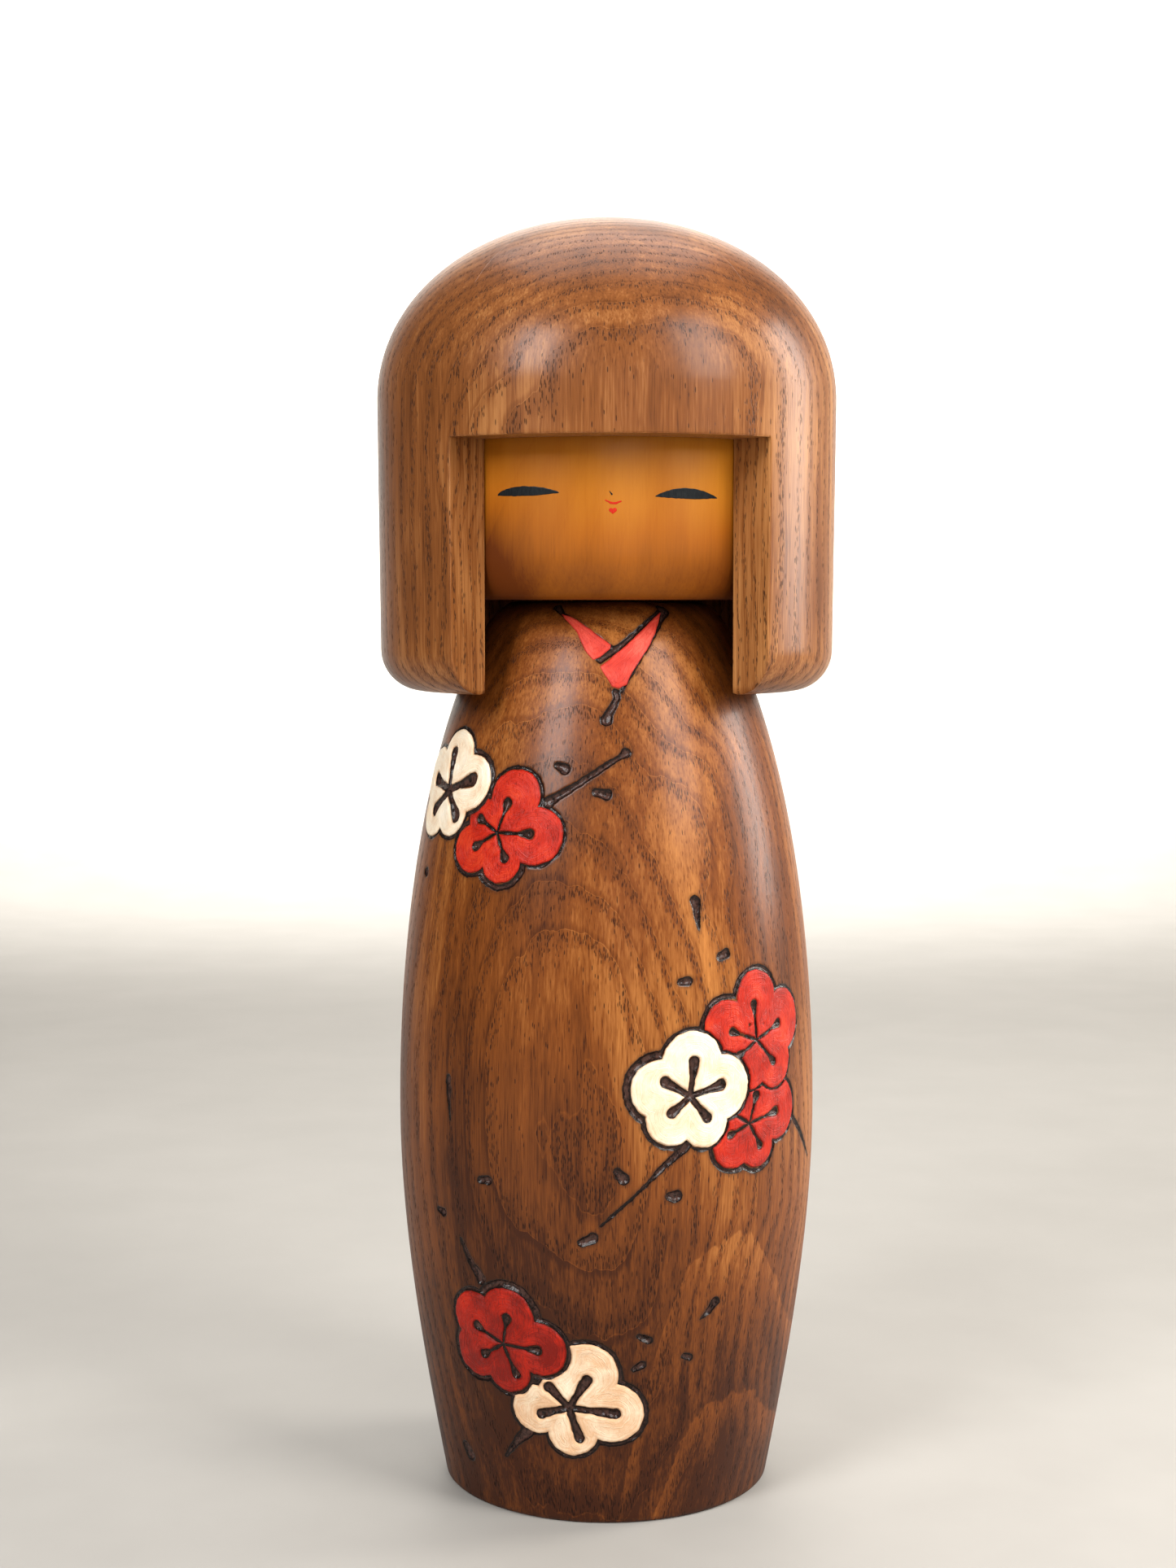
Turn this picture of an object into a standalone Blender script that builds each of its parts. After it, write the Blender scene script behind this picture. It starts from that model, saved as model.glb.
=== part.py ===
"""A creative kokeshi doll: four turned pieces of wood, put together on one axis.

The frame is metres, +Z up, with the origin in the middle of the foot and the face towards -Y.
The body stands on the table. A peg that is glued into the head turns in a bore in the body's
top, and the hair, a hollow bell with a notch cut out for the face, is glued over the head.
"""

import math

import bmesh
import bpy

MM = 0.001

# The turned body, from the foot to the flat seat under the head.
BODY_HEIGHT = 184.7 * MM
FOOT_RADIUS = 34.2 * MM
FOOT_EDGE = 1.2 * MM
FOOT_SLOPE = 0.19
BELLY_RADIUS = 43.6 * MM
BELLY_HEIGHT = 79.0 * MM
SEAT_RADIUS = 18.5 * MM
SHOULDER_SLOPE = 0.36
# How far each curve's handle reaches, as a share of the curve's own height or width.
FOOT_REACH = 0.35
BELLY_REACH = 0.32
NECK_REACH = 0.3
SHOULDER_REACH = 0.55
SEAT_REACH = 0.4

# The shallow hollow under the foot, which leaves a ring to stand on.
HOLLOW_RADIUS = 25.0 * MM
HOLLOW_EDGE = 1.5 * MM
HOLLOW_DEPTH = 1.5 * MM

# The head, a drum with rounded lower edge.
HEAD_RADIUS = 36.9 * MM
HEAD_HEIGHT = 45.0 * MM
CHIN_INSET = 4.6 * MM
CHIN_ROUND_HEIGHT = 9.0 * MM

# The hair, a bell over the head.
HAIR_WALL = 10.3 * MM
HAIR_CROWN = 32.7 * MM
HAIR_DOME_HEIGHT = 37.6 * MM
HAIR_DOME_POWER = 2.07
HAIR_OVERHANG = 18.4 * MM
HAIR_RIM_TUCK = 0.5 * MM
HAIR_RIM_ROUND = 8.5 * MM
FACE_HEIGHT = 31.4 * MM
FACE_HALF_ANGLE = math.radians(41.0)

# The peg between the head and the body.
PEG_RADIUS = 7.0 * MM
PEG_CHAMFER = 1.0 * MM
PEG_IN_BODY = 28.0 * MM
PEG_IN_HEAD = 24.0 * MM

# Clearances: what fits in or rests on another piece keeps these to it.
SEAT_GAP = 0.3 * MM
PEG_CLEARANCE = 0.1 * MM
PEG_END_GAP = 1.0 * MM
HEAD_FIT = 0.3 * MM
ROOF_GAP = 0.3 * MM
SHOULDER_CLEARANCE = 6.2 * MM

SEGMENTS = 48
SIDE_STEPS = 9
DOME_STEPS = 10
SHOULDER_STEPS = 7
ROUND_STEPS = 5
MERGE_DISTANCE = 0.001 * MM
SHARP_ANGLE = math.radians(35.0)
CUTTER_REACH = 2.0

# What follows from the sizes above. Heights over the seat plane are local to the head.
BORE_RADIUS = PEG_RADIUS + PEG_CLEARANCE
CAVITY_RADIUS = HEAD_RADIUS + HEAD_FIT
HAIR_RADIUS = CAVITY_RADIUS + HAIR_WALL
CHIN_Z = SEAT_GAP
HEAD_TOP_Z = CHIN_Z + HEAD_HEIGHT
ROOF_Z = HEAD_TOP_Z + ROOF_GAP
HAIR_TOP_Z = ROOF_Z + HAIR_CROWN
DOME_Z = HAIR_TOP_Z - HAIR_DOME_HEIGHT
RIM_Z = -HAIR_OVERHANG
FRINGE_Z = CHIN_Z + FACE_HEIGHT
SHOULDER_RADIUS = CAVITY_RADIUS - SHOULDER_CLEARANCE
SHOULDER_HEIGHT = BODY_HEIGHT + RIM_Z


def clear_scene():
    for obj in list(bpy.data.objects):
        bpy.data.objects.remove(obj, do_unlink=True)


def wood(name, colour, roughness):
    """A bare or varnished wood: colour is linear RGB, and nothing here is metal."""
    material = bpy.data.materials.new(name)
    material.use_nodes = True
    shader = material.node_tree.nodes["Principled BSDF"]
    shader.inputs["Base Color"].default_value = (*colour, 1.0)
    shader.inputs["Roughness"].default_value = roughness
    shader.inputs["Metallic"].default_value = 0.0
    return material


def bezier(start, start_handle, end_handle, end, steps):
    """Points of a cubic curve in the (radius, height) plane, without its first point."""
    points = []
    for step in range(1, steps + 1):
        t = step / steps
        weights = ((1 - t) ** 3, 3 * t * (1 - t) ** 2, 3 * t * t * (1 - t), t**3)
        ends = (start, start_handle, end_handle, end)
        points.append(tuple(sum(w * p[axis] for w, p in zip(weights, ends)) for axis in (0, 1)))
    return points


def quarter(centre, across, up, first_degrees, last_degrees, steps, power=2.0):
    """Points of an ellipse, or of a squarer superellipse, from one angle to another."""
    points = []
    for step in range(steps + 1):
        angle = math.radians(first_degrees + (last_degrees - first_degrees) * step / steps)
        cosine = math.copysign(abs(math.cos(angle)) ** (2 / power), math.cos(angle))
        sine = math.copysign(abs(math.sin(angle)) ** (2 / power), math.sin(angle))
        points.append((centre[0] + across * cosine, centre[1] + up * sine))
    return points


def turned(name, outline, material):
    """A lathe piece: the outline, which starts and ends on the axis, spun once round Z."""
    mesh = bpy.data.meshes.new(name)
    shape = bmesh.new()
    ring = [shape.verts.new((max(radius, 0.0), 0.0, height)) for radius, height in outline]
    edges = [shape.edges.new(pair) for pair in zip(ring, ring[1:])]
    bmesh.ops.spin(
        shape,
        geom=ring + edges,
        cent=(0, 0, 0),
        axis=(0, 0, 1),
        angle=math.tau,
        steps=SEGMENTS,
        use_merge=True,
    )
    bmesh.ops.remove_doubles(shape, verts=shape.verts, dist=MERGE_DISTANCE)
    bmesh.ops.recalc_face_normals(shape, faces=shape.faces)
    shape.to_mesh(mesh)
    shape.free()
    mesh.shade_smooth()
    mesh.set_sharp_from_angle(angle=SHARP_ANGLE)
    mesh.materials.append(material)
    obj = bpy.data.objects.new(name, mesh)
    bpy.context.scene.collection.objects.link(obj)
    return obj


def body_outline():
    """Up from the hollow under the foot, over the belly and the shoulder, and down the bore."""
    foot = (FOOT_RADIUS, FOOT_EDGE)
    belly = (BELLY_RADIUS, BELLY_HEIGHT)
    shoulder = (SHOULDER_RADIUS, SHOULDER_HEIGHT)
    seat = (SEAT_RADIUS, BODY_HEIGHT)
    lower_run = BELLY_HEIGHT - FOOT_EDGE
    upper_run = SHOULDER_HEIGHT - BELLY_HEIGHT
    over_foot = FOOT_REACH * lower_run
    under_belly = BELLY_REACH * lower_run
    over_belly = BELLY_REACH * upper_run
    under_shoulder = NECK_REACH * upper_run
    over_shoulder = SHOULDER_REACH * (BODY_HEIGHT - SHOULDER_HEIGHT)
    beside_seat = SEAT_REACH * (SHOULDER_RADIUS - SEAT_RADIUS)
    outline = [
        (0, HOLLOW_DEPTH),
        (HOLLOW_RADIUS, HOLLOW_DEPTH),
        (HOLLOW_RADIUS + HOLLOW_EDGE, 0),
        (FOOT_RADIUS - FOOT_EDGE, 0),
        foot,
    ]
    outline += bezier(
        foot,
        (FOOT_RADIUS + FOOT_SLOPE * over_foot, FOOT_EDGE + over_foot),
        (BELLY_RADIUS, BELLY_HEIGHT - under_belly),
        belly,
        SIDE_STEPS,
    )
    outline += bezier(
        belly,
        (BELLY_RADIUS, BELLY_HEIGHT + over_belly),
        (SHOULDER_RADIUS + SHOULDER_SLOPE * under_shoulder, SHOULDER_HEIGHT - under_shoulder),
        shoulder,
        SIDE_STEPS,
    )
    outline += bezier(
        shoulder,
        (SHOULDER_RADIUS - SHOULDER_SLOPE * over_shoulder, SHOULDER_HEIGHT + over_shoulder),
        (SEAT_RADIUS + beside_seat, BODY_HEIGHT),
        seat,
        SHOULDER_STEPS,
    )
    bore_floor = BODY_HEIGHT - PEG_IN_BODY - PEG_END_GAP
    return outline + [(BORE_RADIUS, BODY_HEIGHT), (BORE_RADIUS, bore_floor), (0, bore_floor)]


def head_outline():
    """Down from the bore's end, out under the chin, and up the drum's side."""
    bore_end = PEG_IN_HEAD + PEG_END_GAP
    chin_centre = (HEAD_RADIUS - CHIN_INSET, CHIN_Z + CHIN_ROUND_HEIGHT)
    outline = [(0, bore_end), (BORE_RADIUS, bore_end), (BORE_RADIUS, CHIN_Z)]
    outline += quarter(chin_centre, CHIN_INSET, CHIN_ROUND_HEIGHT, -90, 0, ROUND_STEPS)
    return outline + [(HEAD_RADIUS, HEAD_TOP_Z), (0, HEAD_TOP_Z)]


def hair_outline():
    """Down the inside of the bell, round its rim, up its wall and over the dome."""
    rim_radius = HAIR_RADIUS - HAIR_RIM_TUCK
    rim_centre = (rim_radius - HAIR_RIM_ROUND, RIM_Z + HAIR_RIM_ROUND)
    outline = [(0, ROOF_Z), (CAVITY_RADIUS, ROOF_Z), (CAVITY_RADIUS, RIM_Z)]
    outline += quarter(rim_centre, HAIR_RIM_ROUND, HAIR_RIM_ROUND, -90, 0, ROUND_STEPS)
    dome = quarter((0, DOME_Z), HAIR_RADIUS, HAIR_DOME_HEIGHT, 0, 90, DOME_STEPS, HAIR_DOME_POWER)
    return outline + dome[:-1] + [(0, HAIR_TOP_Z)]


def peg_outline():
    """A plain dowel with chamfered ends."""
    waist = PEG_RADIUS - PEG_CHAMFER
    return [
        (0, -PEG_IN_BODY),
        (waist, -PEG_IN_BODY),
        (PEG_RADIUS, PEG_CHAMFER - PEG_IN_BODY),
        (PEG_RADIUS, PEG_IN_HEAD - PEG_CHAMFER),
        (waist, PEG_IN_HEAD),
        (0, PEG_IN_HEAD),
    ]


def face_cutter():
    """The wedge that opens the bell at the front: two saw cuts towards the axis and a level one."""
    reach = CUTTER_REACH * HAIR_RADIUS / math.cos(FACE_HALF_ANGLE)
    side = reach * math.sin(FACE_HALF_ANGLE)
    front = -reach * math.cos(FACE_HALF_ANGLE)
    bottom = RIM_Z - HAIR_RIM_ROUND
    mesh = bpy.data.meshes.new("face_cutter")
    shape = bmesh.new()
    corners = [shape.verts.new((x, y, bottom)) for x, y in ((0, 0), (side, front), (-side, front))]
    floor = shape.faces.new(corners)
    lifted = bmesh.ops.extrude_face_region(shape, geom=[floor])
    top = [item for item in lifted["geom"] if isinstance(item, bmesh.types.BMVert)]
    bmesh.ops.translate(shape, verts=top, vec=(0, 0, FRINGE_Z - bottom))
    bmesh.ops.recalc_face_normals(shape, faces=shape.faces)
    shape.to_mesh(mesh)
    shape.free()
    cutter = bpy.data.objects.new("face_cutter", mesh)
    bpy.context.scene.collection.objects.link(cutter)
    cutter.hide_render = True
    cutter.display_type = "WIRE"
    return cutter


def main():
    clear_scene()
    brown_wood = wood("stained_zelkova", (0.19, 0.085, 0.032), 0.42)
    face_wood = wood("stained_dogwood", (0.40, 0.165, 0.045), 0.38)
    bare_wood = wood("bare_dowel", (0.52, 0.36, 0.20), 0.65)

    turned("body", body_outline(), brown_wood)
    head = turned("head", head_outline(), face_wood)
    hair = turned("hair", hair_outline(), brown_wood)
    peg = turned("neck_peg", peg_outline(), bare_wood)

    neck = bpy.data.objects.new("neck_axis", None)
    bpy.context.scene.collection.objects.link(neck)
    neck.location = (0, 0, BODY_HEIGHT)
    cutter = face_cutter()
    for piece in (head, hair, peg, cutter):
        piece.parent = neck
    notch = hair.modifiers.new("face_notch", "BOOLEAN")
    notch.operation = "DIFFERENCE"
    notch.object = cutter


main()
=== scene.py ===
"""The looks of a creative kokeshi doll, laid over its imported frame.

Four turned pieces of wood, seven painted plum blossoms, a painted collar and a drawn face.
Shapes are worked out in millimetres and go into the meshes in metres, +Z up, face towards -Y.
An angle round the doll is in degrees from the front, positive towards +X.
"""

import math
from collections import namedtuple
from functools import partial

import bpy
import numpy as np
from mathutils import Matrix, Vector


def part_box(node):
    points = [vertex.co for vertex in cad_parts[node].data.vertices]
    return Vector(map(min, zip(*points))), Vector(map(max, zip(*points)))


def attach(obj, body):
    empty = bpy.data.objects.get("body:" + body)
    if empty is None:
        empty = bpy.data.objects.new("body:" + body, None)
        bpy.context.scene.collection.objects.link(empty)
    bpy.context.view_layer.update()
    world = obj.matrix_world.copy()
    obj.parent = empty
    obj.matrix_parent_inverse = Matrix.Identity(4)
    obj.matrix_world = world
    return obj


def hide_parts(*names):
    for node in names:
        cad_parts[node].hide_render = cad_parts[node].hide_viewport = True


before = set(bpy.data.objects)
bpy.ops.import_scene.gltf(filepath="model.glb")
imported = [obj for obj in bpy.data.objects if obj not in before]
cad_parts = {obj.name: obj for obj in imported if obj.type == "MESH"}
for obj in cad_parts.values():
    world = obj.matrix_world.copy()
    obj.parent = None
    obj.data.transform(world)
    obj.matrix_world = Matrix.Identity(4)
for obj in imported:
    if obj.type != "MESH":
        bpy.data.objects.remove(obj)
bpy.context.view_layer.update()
MM = 0.001


# The camera stands level with the underside of the head, half a metre away, a little to the
# doll's right, and looks slightly down with the doll just right of the middle.
CAMERA_DISTANCE = 503.0
CAMERA_HEIGHT = 185.1
CAMERA_ROUND = math.radians(-1.0)
CAMERA_DOWN = math.radians(4.4)
CAMERA_ASIDE = math.radians(0.44)
CAMERA_LENS = 55.1

camera = bpy.data.objects.new("camera", bpy.data.cameras.new("camera"))
bpy.context.scene.collection.objects.link(camera)
bpy.context.scene.camera = camera
camera.data.lens = CAMERA_LENS
camera.data.sensor_width = 36.0
camera.data.clip_start = 0.01
camera.location = (
    CAMERA_DISTANCE * math.sin(CAMERA_ROUND) * MM,
    -CAMERA_DISTANCE * math.cos(CAMERA_ROUND) * MM,
    CAMERA_HEIGHT * MM,
)
camera.rotation_euler = (math.radians(90) - CAMERA_DOWN, 0, CAMERA_ROUND + CAMERA_ASIDE)
# Colours are shown as they are lit, with no film toning.
bpy.context.scene.view_settings.view_transform = "Standard"


# The body: one barrel of brown stained ring-porous wood, turned from the foot's hollow up to the
# seat under the head, with a bore for the peg. Twigs, seeds and the outlines of the blossoms are
# gouged and burnt into it before it is varnished.
_, body_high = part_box("body")
BODY_HEIGHT = body_high.z / MM
BELLY_RADIUS = body_high.x / MM
BELLY_HEIGHT = 79.0
FOOT_RADIUS, FOOT_EDGE, FOOT_SLOPE, FOOT_REACH = 34.2, 1.2, 0.19, 0.35
BELLY_REACH = 0.32
SHOULDER_RADIUS, SHOULDER_HEIGHT, SHOULDER_SLOPE = 31.0, 166.3, 0.36
NECK_REACH, SHOULDER_REACH, SEAT_REACH = 0.3, 0.55, 0.4
SEAT_RADIUS = 18.5
HOLLOW_RADIUS, HOLLOW_EDGE, HOLLOW_DEPTH = 25.0, 1.5, 1.5
BORE_RADIUS, BORE_FLOOR, BORE_LIP = 7.1, 155.7, 0.4

ROW_STEP, COLUMNS, FINE, REFINE_WITHIN = 1.1, 228, 4, 1.3
GROOVE_DEPTH, GROOVE_SLOPE = 0.62, 0.75
BLOSSOM_CORE = 3.6
FAR = 99.0

GROOVE_FAR = 3.0

PORE_RADIUS, PORE_INNER = 45.0, 28.0
PORE_ACROSS, PORE_ALONG = 0.31, 1.6
VARNISH_ROUGH, VARNISH_IOR = 0.22, 1.45


def operator(operation, swapped=False):
    """A method of Value that adds one Math node. A swapped one takes its value second."""
    if swapped:
        return lambda value, other: value.look.maths(operation, other, value)
    return lambda value, *others: value.look.maths(operation, value, *others)


class Value:
    """A number that varies over a surface. Arithmetic on it adds Math nodes."""

    __add__, __radd__ = operator("ADD"), operator("ADD", swapped=True)
    __sub__, __rsub__ = operator("SUBTRACT"), operator("SUBTRACT", swapped=True)
    __mul__, __rmul__ = operator("MULTIPLY"), operator("MULTIPLY", swapped=True)
    __truediv__, __rtruediv__ = operator("DIVIDE"), operator("DIVIDE", swapped=True)
    root, whole, part = operator("SQRT"), operator("FLOOR"), operator("FRACT")
    most, below = operator("MAXIMUM"), operator("LESS_THAN")

    def __init__(self, look, socket):
        self.look, self.socket = look, socket

    def eased(self, start, end):
        """0 at start and 1 at end, with smooth ends between them."""
        sockets = {"Value": self, "From Min": start, "From Max": end}
        made = self.look.node("MapRange", sockets, interpolation_type="SMOOTHSTEP")
        return Value(self.look, made.outputs["Result"])


class Look:
    """A material and its nodes. Sizes are in millimetres of the piece's own Object coordinates."""

    def __init__(self, name):
        self.material = bpy.data.materials.new(name)
        self.material.use_nodes = True
        self.tree = self.material.node_tree
        self.shader = self.tree.nodes["Principled BSDF"]
        self.place = self.node("TexCoord").outputs["Object"]

    def feed(self, socket, value):
        """Links a socket to another node, or gives it a plain number, colour or vector."""
        if isinstance(value, Value):
            value = value.socket
        if isinstance(value, bpy.types.NodeSocket):
            self.tree.links.new(value, socket)
        elif isinstance(value, tuple) and len(socket.default_value) > len(value):
            socket.default_value = (*value, 1.0)
        else:
            socket.default_value = value

    def node(self, kind, sockets=None, **settings):
        """Any node: its settings are made first, then its sockets are fed."""
        made = self.tree.nodes.new("ShaderNode" + kind)
        for key, value in settings.items():
            setattr(made, key, value)
        for key, value in (sockets or {}).items():
            self.feed(made.inputs[key], value)
        return made

    def maths(self, operation, *terms):
        made = self.node("Math", dict(enumerate(terms)), operation=operation)
        return Value(self, made.outputs[0])

    def scaled(self, size, shift=0.0):
        """The place on the piece, counted in lumps of size (x, y, z)."""
        counts = tuple(1 / (length * MM) for length in size)
        sockets = {"Vector": self.place, "Scale": counts, "Location": (shift, shift, shift)}
        return self.node("Mapping", sockets).outputs[0]

    def noise(self, size, detail=2.0, rough=0.5, shift=0.0):
        """Smooth noise from 0 to 1 whose lumps measure size (x, y, z)."""
        place = self.scaled(size, shift)
        sockets = {"Vector": place, "Scale": 1.0, "Detail": detail, "Roughness": rough}
        return Value(self, self.node("TexNoise", sockets).outputs[0])

    def axes(self):
        """The place on the piece as (x, y, z) in millimetres."""
        split = self.node("SeparateXYZ", {"Vector": self.place})
        return [Value(self, split.outputs[axis]) * (1 / MM) for axis in "XYZ"]

    def cells(self, place):
        """Cells one unit wide: how far each place is from its cell's middle, and the cell's own
        number from 0 to 1."""
        made = self.node("TexVoronoi", {"Vector": place, "Scale": 1.0})
        own = self.node("SeparateColor", {"Color": made.outputs["Color"]})
        return Value(self, made.outputs["Distance"]), Value(self, own.outputs[0])

    def attribute(self, name):
        made = self.node("Attribute", attribute_name=name)
        return Value(self, made.outputs["Fac"])

    def ramp(self, value, stops):
        """The colour at value on a ramp of (place, colour) stops."""
        made = self.node("ValToRGB", {"Fac": value})
        stretch = made.color_ramp.elements
        while len(stretch) < len(stops):
            stretch.new(0.5)
        for stop, (where, colour) in zip(stretch, stops):
            stop.position = where
            stop.color = (*colour, 1.0)
        return made.outputs["Color"]

    def mixed(self, share, first, second):
        """The first colour where share is 0, and the second where it is 1."""
        return self.node("Mix", {0: share, 6: first, 7: second}, data_type="RGBA").outputs[2]

    def dented(self, height, depth):
        """A normal for the shader from a height from 0 to 1 that is worth depth millimetres."""
        made = self.node("Bump", {"Height": height, "Distance": depth * MM})
        return made.outputs["Normal"]

    def finish(self, **sockets):
        """Feeds the shader. An underscore in a name stands for a space."""
        for key, value in sockets.items():
            self.feed(self.shader.inputs[key.replace("_", " ")], value)
        return self.material


def tint(red, green, blue):
    """A screen colour of 0 to 255 as the linear one that the shader takes."""
    return tuple(
        c / 255 / 12.92 if c < 11 else ((c / 255 + 0.055) / 1.055) ** 2.4
        for c in (red, green, blue)
    )


def bezier(start, start_handle, end_handle, end, count=400):
    """A cubic curve as an array of points: the four given ones weighted by (1-t)^3 and so on."""
    t = np.linspace(0, 1, count)[:, None]
    points = [np.array(p, float) for p in (start, start_handle, end_handle, end)]
    weights = ((1 - t) ** 3, 3 * t * (1 - t) ** 2, 3 * t * t * (1 - t), t**3)
    return sum(weight * point for weight, point in zip(weights, points))


def arc(centre, radii, start, end, count):
    """Points on an ellipse round a centre, from one angle to another in degrees: the centre plus
    the radii times (cos, sin)."""
    turn = np.radians(np.linspace(start, end, count))
    return np.stack([np.cos(turn), np.sin(turn)], axis=1) * radii + centre


def lengths(points):
    """How far along a line of points each one is."""
    return np.concatenate([[0.0], np.cumsum(np.hypot(*np.diff(points, axis=0).T))])


class Side:
    """The side of a turned piece, as its profile's (radius, height) at each length along it."""

    def __init__(self, profile):
        self.profile = profile
        self.along = lengths(profile)
        slope = np.gradient(profile, self.along, axis=0)
        self.normal = np.stack([slope[:, 1], -slope[:, 0]], axis=1)

    def at(self, along, values):
        """What the profile's values are at a length along it."""
        return np.stack([np.interp(along, self.along, column) for column in values.T], axis=-1)

    def length_at(self, height):
        return np.interp(height, self.profile[:, 1], self.along)

    def flat(self, anchor, angle, along):
        """Millimetres (across, up) from the anchor's (angle, height), the surface laid flat there.
        across is the radius times the angle between them, and up is the length along the side."""
        radius = np.interp(along, self.along, self.profile[:, 0])
        return radius * np.radians(angle - anchor[0]), along - self.length_at(anchor[1])

    def curled(self, anchor, across, up):
        """The way back from flat millimetres to (angle, length along the profile)."""
        along = up + self.length_at(anchor[1])
        radius = np.interp(along, self.along, self.profile[:, 0])
        return anchor[0] + np.degrees(across / radius), along

    def points(self, angle, along, lift):
        """Places in millimetres, lift off the wood along its normal."""
        radius, height = np.moveaxis(self.at(along, self.profile), -1, 0)
        out, up = np.moveaxis(self.at(along, self.normal), -1, 0)
        return turned_points(angle, radius + lift * out, height + lift * up)


def turned_points(angle, radius, height):
    """(x, y, z) of a radius and a height at an angle round the axis from the front."""
    turn = np.radians(angle)
    return np.stack([radius * np.sin(turn), -radius * np.cos(turn), height], axis=-1)


def wobble(across, up, size, seed):
    """Smooth hand-made unevenness from -1 to 1: seeded values on a lattice of that size, eased
    from one to the next in both directions."""
    lattice = np.random.default_rng(seed).uniform(-1, 1, (97, 97))
    u, v = np.asarray(across) / size + 1000.0, np.asarray(up) / size + 1000.0
    i, j = np.floor(u).astype(int), np.floor(v).astype(int)
    s, t = u - i, v - j
    s, t = s * s * (3 - 2 * s), t * t * (3 - 2 * t)
    near = lattice[i % 97, j % 97] * (1 - s) + lattice[(i + 1) % 97, j % 97] * s
    far = lattice[i % 97, (j + 1) % 97] * (1 - s) + lattice[(i + 1) % 97, (j + 1) % 97] * s
    return near * (1 - t) + far * t


def eased(value, start, end):
    """0 at start and 1 at end, with smooth ends between them."""
    t = np.clip((value - start) / (end - start), 0, 1)
    return t * t * (3 - 2 * t)


def turned_faces(rings, width):
    """The faces of a turned surface: rings of width points each, and a pole at either end."""
    index = np.arange(rings * width).reshape(rings, width)
    after = np.roll(index, -1, axis=1)
    quads = np.stack([index[:-1], after[:-1], after[1:], index[1:]], axis=-1).reshape(-1, 4)
    start = np.stack([np.full(width, rings * width), after[0], index[0]], axis=1)
    end = np.stack([index[-1], after[-1], np.full(width, rings * width + 1)], axis=1)
    return quads.tolist() + start.tolist() + end.tolist()


def new_piece(name, points, faces, material, body, replaces=(), values=None):
    """A mesh of points in millimetres that rides on a body. values are numbers for each point
    that its material reads by name."""
    mesh = bpy.data.meshes.new(name)
    mesh.from_pydata((np.asarray(points) * MM).tolist(), [], faces)
    mesh.validate()
    for key, numbers in (values or {}).items():
        mesh.attributes.new(key, "FLOAT", "POINT").data.foreach_set(
            "value", np.asarray(numbers, np.float32)
        )
    mesh.shade_smooth()
    mesh.materials.append(material)
    piece = bpy.data.objects.new(name, mesh)
    bpy.context.scene.collection.objects.link(piece)
    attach(piece, body)
    if replaces:
        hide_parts(*replaces)
    return piece


def capsule(across, up, start, end, start_radius, end_radius):
    """Distance to a stroke that swells from one radius to another: the distance to the straight
    line between its ends, less the radius at the nearest place on it."""
    run = np.subtract(end, start)
    share = ((across - start[0]) * run[0] + (up - start[1]) * run[1]) / max(run @ run, 1e-9)
    share = np.clip(share, 0, 1)
    away = np.hypot(across - start[0] - share * run[0], up - start[1] - share * run[1])
    return away - start_radius - share * (end_radius - start_radius)


def brush_line(across, up, knots):
    """Distance to strokes that follow one another through knots (across, up, half width)."""
    pairs = zip(knots, knots[1:])
    return np.minimum.reduce([capsule(across, up, a[:2], b[:2], a[2], b[2]) for a, b in pairs])


below_belly = BELLY_HEIGHT - FOOT_EDGE
above_belly = SHOULDER_HEIGHT - BELLY_HEIGHT
above_shoulder = BODY_HEIGHT - SHOULDER_HEIGHT
foot_handle, neck_handle = FOOT_REACH * below_belly, NECK_REACH * above_belly
shoulder_handle = SHOULDER_REACH * above_shoulder
body_side_line = np.vstack(
    [
        bezier(
            (FOOT_RADIUS, FOOT_EDGE),
            (FOOT_RADIUS + FOOT_SLOPE * foot_handle, FOOT_EDGE + foot_handle),
            (BELLY_RADIUS, BELLY_HEIGHT - BELLY_REACH * below_belly),
            (BELLY_RADIUS, BELLY_HEIGHT),
        ),
        bezier(
            (BELLY_RADIUS, BELLY_HEIGHT),
            (BELLY_RADIUS, BELLY_HEIGHT + BELLY_REACH * above_belly),
            (SHOULDER_RADIUS + SHOULDER_SLOPE * neck_handle, SHOULDER_HEIGHT - neck_handle),
            (SHOULDER_RADIUS, SHOULDER_HEIGHT),
        )[1:],
        bezier(
            (SHOULDER_RADIUS, SHOULDER_HEIGHT),
            (SHOULDER_RADIUS - SHOULDER_SLOPE * shoulder_handle, SHOULDER_HEIGHT + shoulder_handle),
            (SEAT_RADIUS + SEAT_REACH * (SHOULDER_RADIUS - SEAT_RADIUS), BODY_HEIGHT),
            (SEAT_RADIUS, BODY_HEIGHT),
        )[1:],
    ]
)
body_side = Side(body_side_line)

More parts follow.
